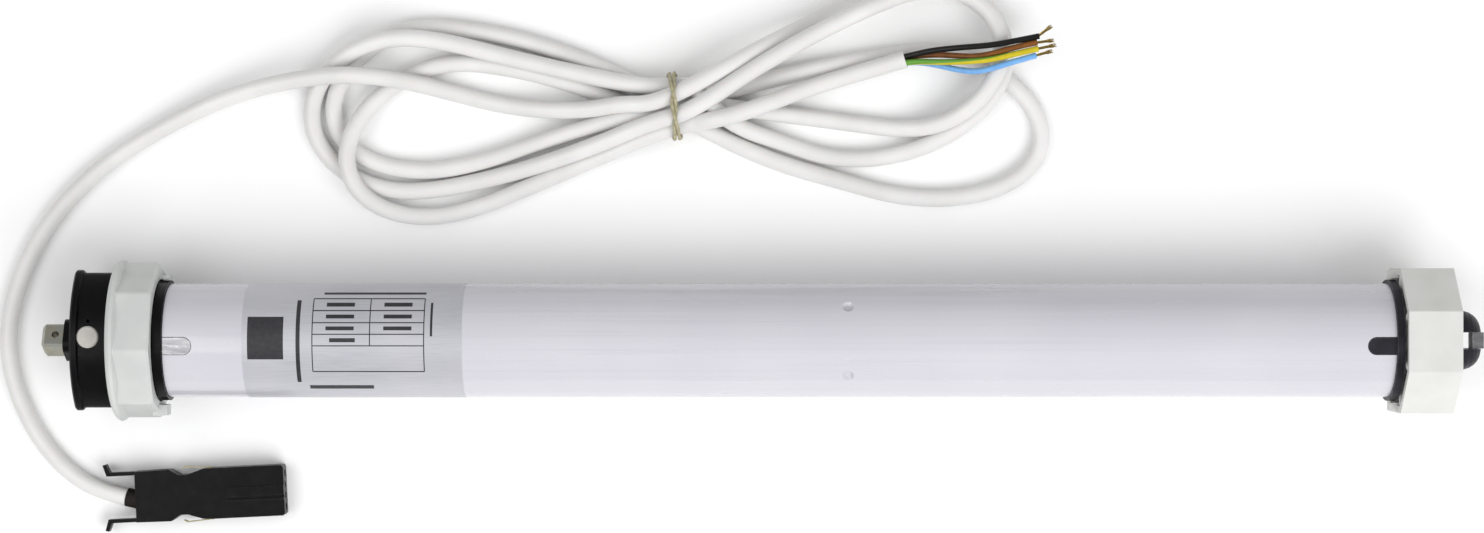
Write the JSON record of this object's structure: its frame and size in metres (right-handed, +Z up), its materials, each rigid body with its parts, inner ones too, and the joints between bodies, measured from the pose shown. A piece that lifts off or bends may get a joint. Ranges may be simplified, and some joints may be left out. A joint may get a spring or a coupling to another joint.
{
  "type": "tubular roller shutter motor",
  "caption": "Round tubular shutter motor with square pin head, octagonal crown and drive wheel, and a loose plug-in cable tied in a figure of eight.",
  "frame": {"origin": "centre of the motor's box at the height of the surface it lies on, without the cable, its plug and what is on them", "axes": "+X along the motor from the square pin to the drive wheel, +Z up from the surface, +Y towards the hank of cable"},
  "size_m": [0.5933, 0.2264, 0.064],
  "materials": {
    "tube_paint": "glossy white paint",
    "label_film": "silvery printed film",
    "black_plastic": "moulded, fine texture",
    "zinc_steel": "zinc plated",
    "spring_steel": "bright rolled",
    "crown_plastic": "moulded, faint green",
    "wheel_plastic": "moulded, warm grey",
    "white_plastic": "moulded",
    "grey_plastic": "moulded",
    "tinned_copper": "tinned",
    "circuit_board": "solder resist",
    "relay_plastic": "moulded",
    "capacitor_plastic": "moulded",
    "die_cast": "as cast",
    "copper_wire": "enamelled",
    "laminated_steel": "stacked sheets",
    "gear_steel": "cut",
    "gear_plastic": "moulded acetal",
    "bronze": "sintered",
    "friction": "pressed",
    "soft_rubber": "moulded",
    "cable_jacket": "extruded PVC",
    "wire_jackets": "black, brown, green and yellow, blue",
    "bare_copper": "bare strands",
    "band_rubber": "undyed"
  },
  "bodies": {
    "root": {"motor_tube": "tube_paint", "rating_label": "label_film", "head_housing": "black_plastic", "square_pin": "zinc_steel", "head_key": "spring_steel", "thrust_ring": "black_plastic", "button_spring": "spring_steel", "socket_contacts": "tinned_copper", "board_carrier": "grey_plastic", "control_board": "circuit_board", "board_parts": "relay_plastic", "run_capacitor": "capacitor_plastic", "capacitor_holder": "soft_rubber", "brake_housing": "die_cast", "brake_coil": "copper_wire", "brake_spring": "spring_steel", "stator_core": "laminated_steel", "stator_windings": "copper_wire", "rear_bell": "die_cast", "front_bell": "die_cast", "rotor_bearings": "gear_steel", "rubber_damper": "soft_rubber", "ring_gear": "grey_plastic", "gearbox_flange": "grey_plastic", "output_bush": "bronze", "connector_body": "black_plastic", "cable_gland": "soft_rubber", "leaf_springs": "spring_steel", "plug_contacts": "tinned_copper", "cable_lead": "cable_jacket", "cable_hank": "cable_jacket", "rubber_band": "band_rubber", "conductors": "wire_jackets", "conductor_tips": "bare_copper"},
    "button": {"setting_button": "white_plastic"},
    "crown": {"crown_ring": "crown_plastic", "crown_gear": "gear_plastic"},
    "encoder": {"encoder_pinion": "gear_plastic"},
    "output": {"output_shaft": "gear_steel", "output_hub": "grey_plastic", "drive_wheel": "wheel_plastic", "retaining_clip": "spring_steel"},
    "carrier_2": {"carrier_2": "gear_steel"},
    "carrier_1": {"carrier_1": "gear_plastic"},
    "rotor": {"rotor_core": "laminated_steel", "rotor_shaft": "gear_steel", "brake_disc": "friction"},
    "armature": {"brake_armature": "gear_steel"},
    "latch_upper": {"latch_arm_upper": "black_plastic"},
    "latch_lower": {"latch_arm_lower": "black_plastic"},
    "planet_1_1": {"planet_1_1": "gear_plastic"},
    "planet_1_2": {"planet_1_2": "gear_plastic"},
    "planet_1_3": {"planet_1_3": "gear_plastic"},
    "planet_2_1": {"planet_2_1": "gear_steel"},
    "planet_2_2": {"planet_2_2": "gear_steel"},
    "planet_2_3": {"planet_2_3": "gear_steel"},
    "planet_3_1": {"planet_3_1": "gear_steel"},
    "planet_3_2": {"planet_3_2": "gear_steel"},
    "planet_3_3": {"planet_3_3": "gear_steel"}
  },
  "joints": [
    {"name": "button_press", "type": "slide", "parent": "root", "child": "button", "axis": [0, 0, -1], "range_m": [0, 0.0015], "stiffness_N_per_m": 300, "springref_m": -0.001, "deforming": ["button_spring"]},
    {"name": "crown_turn", "type": "hinge", "parent": "root", "child": "crown", "pos_m": [-0.245, 0, 0.032], "axis": [1, 0, 0], "continuous": true},
    {"name": "encoder_turn", "type": "hinge", "parent": "root", "child": "encoder", "pos_m": [-0.2517, 0.0203, 0.032], "axis": [1, 0, 0], "continuous": true},
    {"name": "output_turn", "type": "hinge", "parent": "root", "child": "output", "pos_m": [0.25, 0, 0.032], "axis": [1, 0, 0], "continuous": true},
    {"name": "carrier_2_turn", "type": "hinge", "parent": "root", "child": "carrier_2", "pos_m": [0.209, 0, 0.032], "axis": [1, 0, 0], "continuous": true},
    {"name": "carrier_1_turn", "type": "hinge", "parent": "root", "child": "carrier_1", "pos_m": [0.1925, 0, 0.032], "axis": [1, 0, 0], "continuous": true},
    {"name": "rotor_turn", "type": "hinge", "parent": "root", "child": "rotor", "pos_m": [0.107, 0, 0.032], "axis": [1, 0, 0], "continuous": true},
    {"name": "planet_1_1_turn", "type": "hinge", "parent": "carrier_1", "child": "planet_1_1", "pos_m": [0.186, 0.01155, 0.032], "axis": [1, 0, 0], "continuous": true},
    {"name": "planet_1_2_turn", "type": "hinge", "parent": "carrier_1", "child": "planet_1_2", "pos_m": [0.186, -0.00577, 0.042], "axis": [1, 0, 0], "continuous": true},
    {"name": "planet_1_3_turn", "type": "hinge", "parent": "carrier_1", "child": "planet_1_3", "pos_m": [0.186, -0.00577, 0.022], "axis": [1, 0, 0], "continuous": true},
    {"name": "planet_2_1_turn", "type": "hinge", "parent": "carrier_2", "child": "planet_2_1", "pos_m": [0.2015, 0.01155, 0.032], "axis": [1, 0, 0], "continuous": true},
    {"name": "planet_2_2_turn", "type": "hinge", "parent": "carrier_2", "child": "planet_2_2", "pos_m": [0.2015, -0.00577, 0.042], "axis": [1, 0, 0], "continuous": true},
    {"name": "planet_2_3_turn", "type": "hinge", "parent": "carrier_2", "child": "planet_2_3", "pos_m": [0.2015, -0.00577, 0.022], "axis": [1, 0, 0], "continuous": true},
    {"name": "planet_3_1_turn", "type": "hinge", "parent": "output", "child": "planet_3_1", "pos_m": [0.22, 0.01155, 0.032], "axis": [1, 0, 0], "continuous": true},
    {"name": "planet_3_2_turn", "type": "hinge", "parent": "output", "child": "planet_3_2", "pos_m": [0.22, -0.00577, 0.042], "axis": [1, 0, 0], "continuous": true},
    {"name": "planet_3_3_turn", "type": "hinge", "parent": "output", "child": "planet_3_3", "pos_m": [0.22, -0.00577, 0.022], "axis": [1, 0, 0], "continuous": true},
    {"name": "armature_slide", "type": "slide", "parent": "root", "child": "armature", "axis": [-1, 0, 0], "range_m": [0, 0.0004], "stiffness_N_per_m": 4000, "springref_m": -0.002, "deforming": ["brake_spring"]},
    {"name": "latch_upper_press", "type": "hinge", "parent": "root", "child": "latch_upper", "pos_m": [-0.24027, -0.05374, 0.005], "axis": [0, 0, 1], "range_deg": [0, 3], "stiffness_Nm_per_rad": 0.4, "springref_deg": -1.15},
    {"name": "latch_lower_press", "type": "hinge", "parent": "root", "child": "latch_lower", "pos_m": [-0.23936, -0.07261, 0.005], "axis": [0, 0, -1], "range_deg": [0, 3], "stiffness_Nm_per_rad": 0.4, "springref_deg": -1.15}
  ],
  "couplings": [
    {"joint": "encoder_turn", "follows": "crown_turn", "ratio": 5.1429},
    {"joint": "carrier_2_turn", "follows": "output_turn", "ratio": 5.5},
    {"joint": "carrier_1_turn", "follows": "output_turn", "ratio": 30.25},
    {"joint": "rotor_turn", "follows": "output_turn", "ratio": 166.38},
    {"joint": "planet_1_1_turn", "follows": "output_turn", "ratio": -77.786},
    {"joint": "planet_1_2_turn", "follows": "output_turn", "ratio": -77.786},
    {"joint": "planet_1_3_turn", "follows": "output_turn", "ratio": -77.786},
    {"joint": "planet_2_1_turn", "follows": "output_turn", "ratio": -14.143},
    {"joint": "planet_2_2_turn", "follows": "output_turn", "ratio": -14.143},
    {"joint": "planet_2_3_turn", "follows": "output_turn", "ratio": -14.143},
    {"joint": "planet_3_1_turn", "follows": "output_turn", "ratio": -2.5714},
    {"joint": "planet_3_2_turn", "follows": "output_turn", "ratio": -2.5714},
    {"joint": "planet_3_3_turn", "follows": "output_turn", "ratio": -2.5714}
  ]
}
